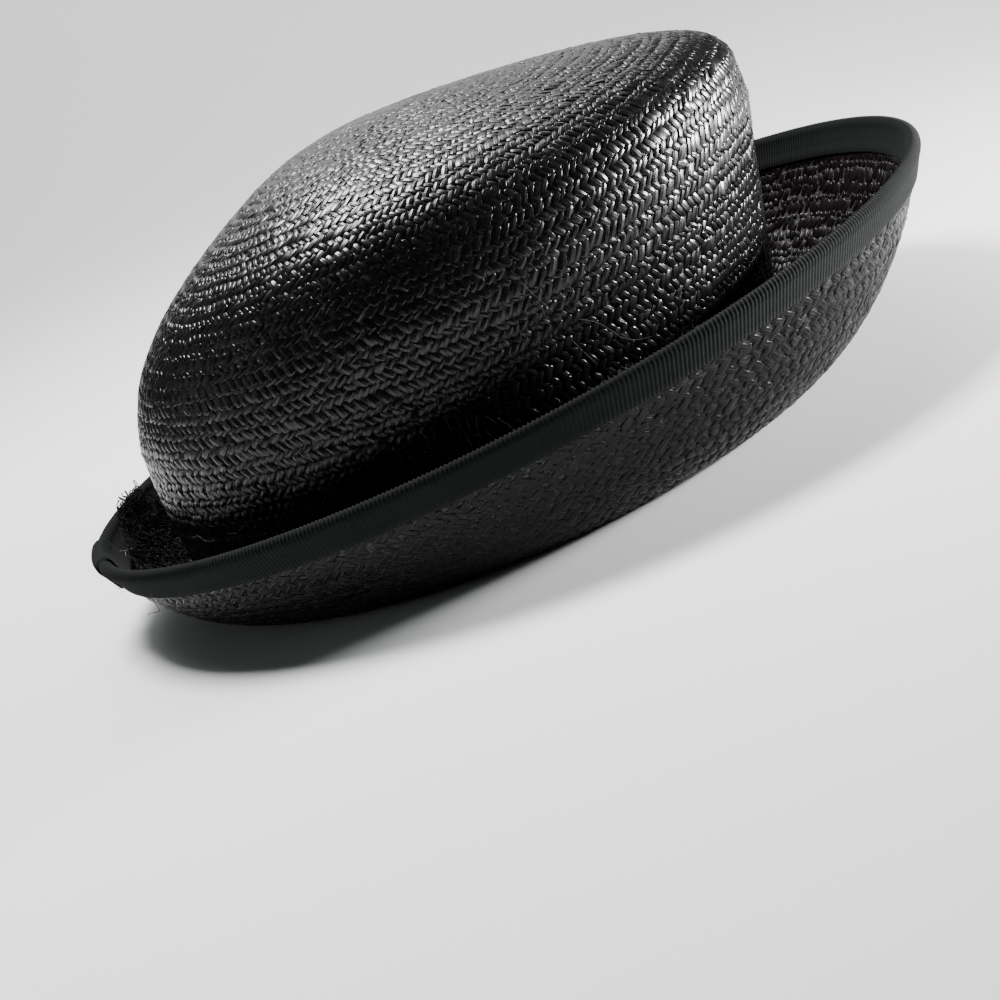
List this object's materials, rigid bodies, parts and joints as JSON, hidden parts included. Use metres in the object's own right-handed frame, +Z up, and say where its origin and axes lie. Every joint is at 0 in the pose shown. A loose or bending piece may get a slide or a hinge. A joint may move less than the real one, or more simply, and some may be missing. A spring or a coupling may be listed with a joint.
{
  "type": "cloche hat",
  "caption": "Woven straw hat with a domed hollow crown, a brim curled up all round and a folded ribbon bound over the brim's edge.",
  "frame": {"origin": "middle of the base, on the surface that the hat rests on", "axes": "+X to the front of the hat, +Y to the wearer's left, +Z up"},
  "size_m": [0.2934, 0.2284, 0.121],
  "materials": {
    "crown_straw": "black lacquered woven straw, glossy",
    "brim_straw": "black lacquered woven straw, satin",
    "ribbon": "black ribbed ribbon, dull",
    "net": "black open net, matte"
  },
  "bodies": {
    "root": {"crown": "crown_straw", "brim": "brim_straw", "edge_binding": "ribbon", "binding_lap": "ribbon", "net_scrap": "net"}
  },
  "joints": []
}
